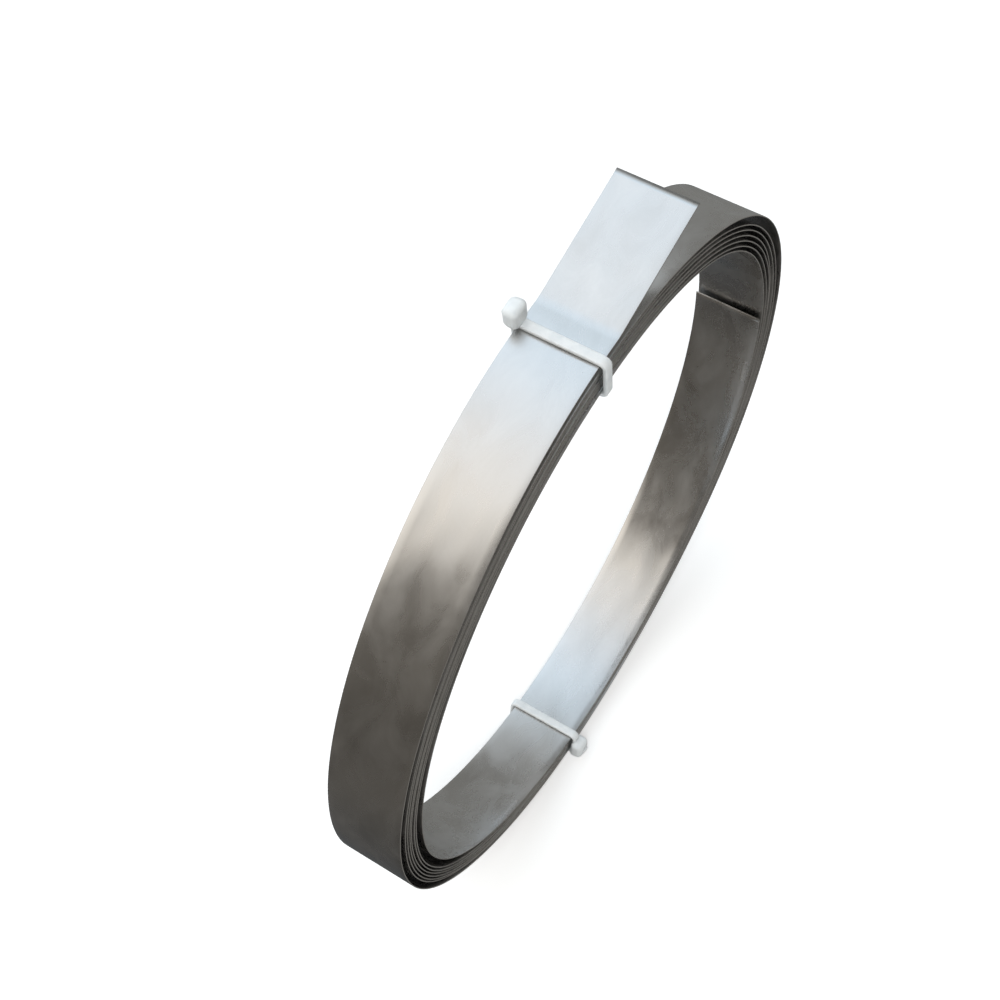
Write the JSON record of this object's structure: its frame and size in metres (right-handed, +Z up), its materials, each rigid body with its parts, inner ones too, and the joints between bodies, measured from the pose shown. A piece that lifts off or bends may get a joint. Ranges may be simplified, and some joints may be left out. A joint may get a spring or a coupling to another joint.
{
  "type": "nichrome heating strip coil",
  "caption": "Loose coil of flat nichrome heating strip standing on its rim, pinched by two small nylon cable ties, with a short straight tail.",
  "frame": {"origin": "the floor point straight below the coil's axis, midway between the coil's two sides", "axes": "+Z up, Y along the coil's axis, +X to the side that the straight tail points to"},
  "size_m": [0.1936, 0.0285, 0.1996],
  "materials": {
    "nichrome": "satin bright-annealed nickel-chromium strip with faint cloudy mottling",
    "nylon": "natural translucent white nylon, slightly waxy"
  },
  "bodies": {
    "root": {"nichrome_strip": "nichrome", "cable_tie_at_tail": "nylon", "cable_tie_opposite": "nylon"}
  },
  "joints": []
}
